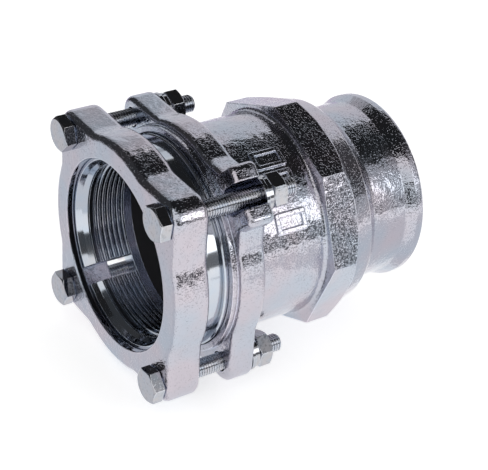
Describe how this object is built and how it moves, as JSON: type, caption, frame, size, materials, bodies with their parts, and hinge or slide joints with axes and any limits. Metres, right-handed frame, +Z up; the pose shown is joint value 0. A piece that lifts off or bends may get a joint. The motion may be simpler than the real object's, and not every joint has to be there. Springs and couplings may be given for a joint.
{
  "type": "compression coupling",
  "caption": "Flanged compression coupling for steel pipe: a split toothed ring grips the plain pipe end, a rubber ring seals it, and the other end is a threaded socket.",
  "frame": {"origin": "on the pipe axis at the front face of the follower flange, where the pipe enters", "axes": "+X along the pipe axis from the pipe entry to the threaded end, +Z up, the four bolts at 45 degrees to +Y and +Z"},
  "size_m": [0.1697, 0.1328, 0.1328],
  "materials": {
    "cast_zinc": "zinc-plated malleable iron casting, fine sandy skin",
    "turned_zinc": "turned and zinc-plated",
    "bolt_zinc": "bright zinc-plated steel",
    "seal_rubber": "matt moulded rubber"
  },
  "bodies": {
    "coupling_body": {"body": "cast_zinc", "grip_ring": "turned_zinc", "pressure_ring": "turned_zinc", "seal": "seal_rubber", "flat_washer_upper_far": "bolt_zinc", "flat_washer_upper_near": "bolt_zinc", "flat_washer_lower_near": "bolt_zinc", "flat_washer_lower_far": "bolt_zinc", "spring_washer_upper_far": "bolt_zinc", "spring_washer_upper_near": "bolt_zinc", "spring_washer_lower_near": "bolt_zinc", "spring_washer_lower_far": "bolt_zinc"},
    "follower": {"follower_flange": "cast_zinc", "bolt_upper_far": "bolt_zinc", "bolt_upper_near": "bolt_zinc", "bolt_lower_near": "bolt_zinc", "bolt_lower_far": "bolt_zinc"},
    "upper_far_nut": {"nut_upper_far": "bolt_zinc"},
    "upper_near_nut": {"nut_upper_near": "bolt_zinc"},
    "lower_near_nut": {"nut_lower_near": "bolt_zinc"},
    "lower_far_nut": {"nut_lower_far": "bolt_zinc"}
  },
  "joints": [
    {"name": "follower_slide", "type": "slide", "parent": "coupling_body", "child": "follower", "axis": [-1, 0, 0], "range_m": [0, 0.0075]},
    {"name": "upper_far_turn", "type": "hinge", "parent": "coupling_body", "child": "upper_far_nut", "pos_m": [0.0573, 0.0485, 0.0485], "axis": [1, 0, 0], "range_deg": [0, 1800.1]},
    {"name": "upper_near_turn", "type": "hinge", "parent": "coupling_body", "child": "upper_near_nut", "pos_m": [0.0573, -0.0485, 0.0485], "axis": [1, 0, 0], "range_deg": [0, 1800.1]},
    {"name": "lower_near_turn", "type": "hinge", "parent": "coupling_body", "child": "lower_near_nut", "pos_m": [0.0573, -0.0485, -0.0485], "axis": [1, 0, 0], "range_deg": [0, 1800.1]},
    {"name": "lower_far_turn", "type": "hinge", "parent": "coupling_body", "child": "lower_far_nut", "pos_m": [0.0573, 0.0485, -0.0485], "axis": [1, 0, 0], "range_deg": [0, 1800.1]}
  ],
  "couplings": [
    {"joint": "upper_far_turn", "follows": "follower_slide", "rad_per_m": 4188.8},
    {"joint": "upper_near_turn", "follows": "follower_slide", "rad_per_m": 4188.8},
    {"joint": "lower_near_turn", "follows": "follower_slide", "rad_per_m": 4188.8},
    {"joint": "lower_far_turn", "follows": "follower_slide", "rad_per_m": 4188.8}
  ]
}
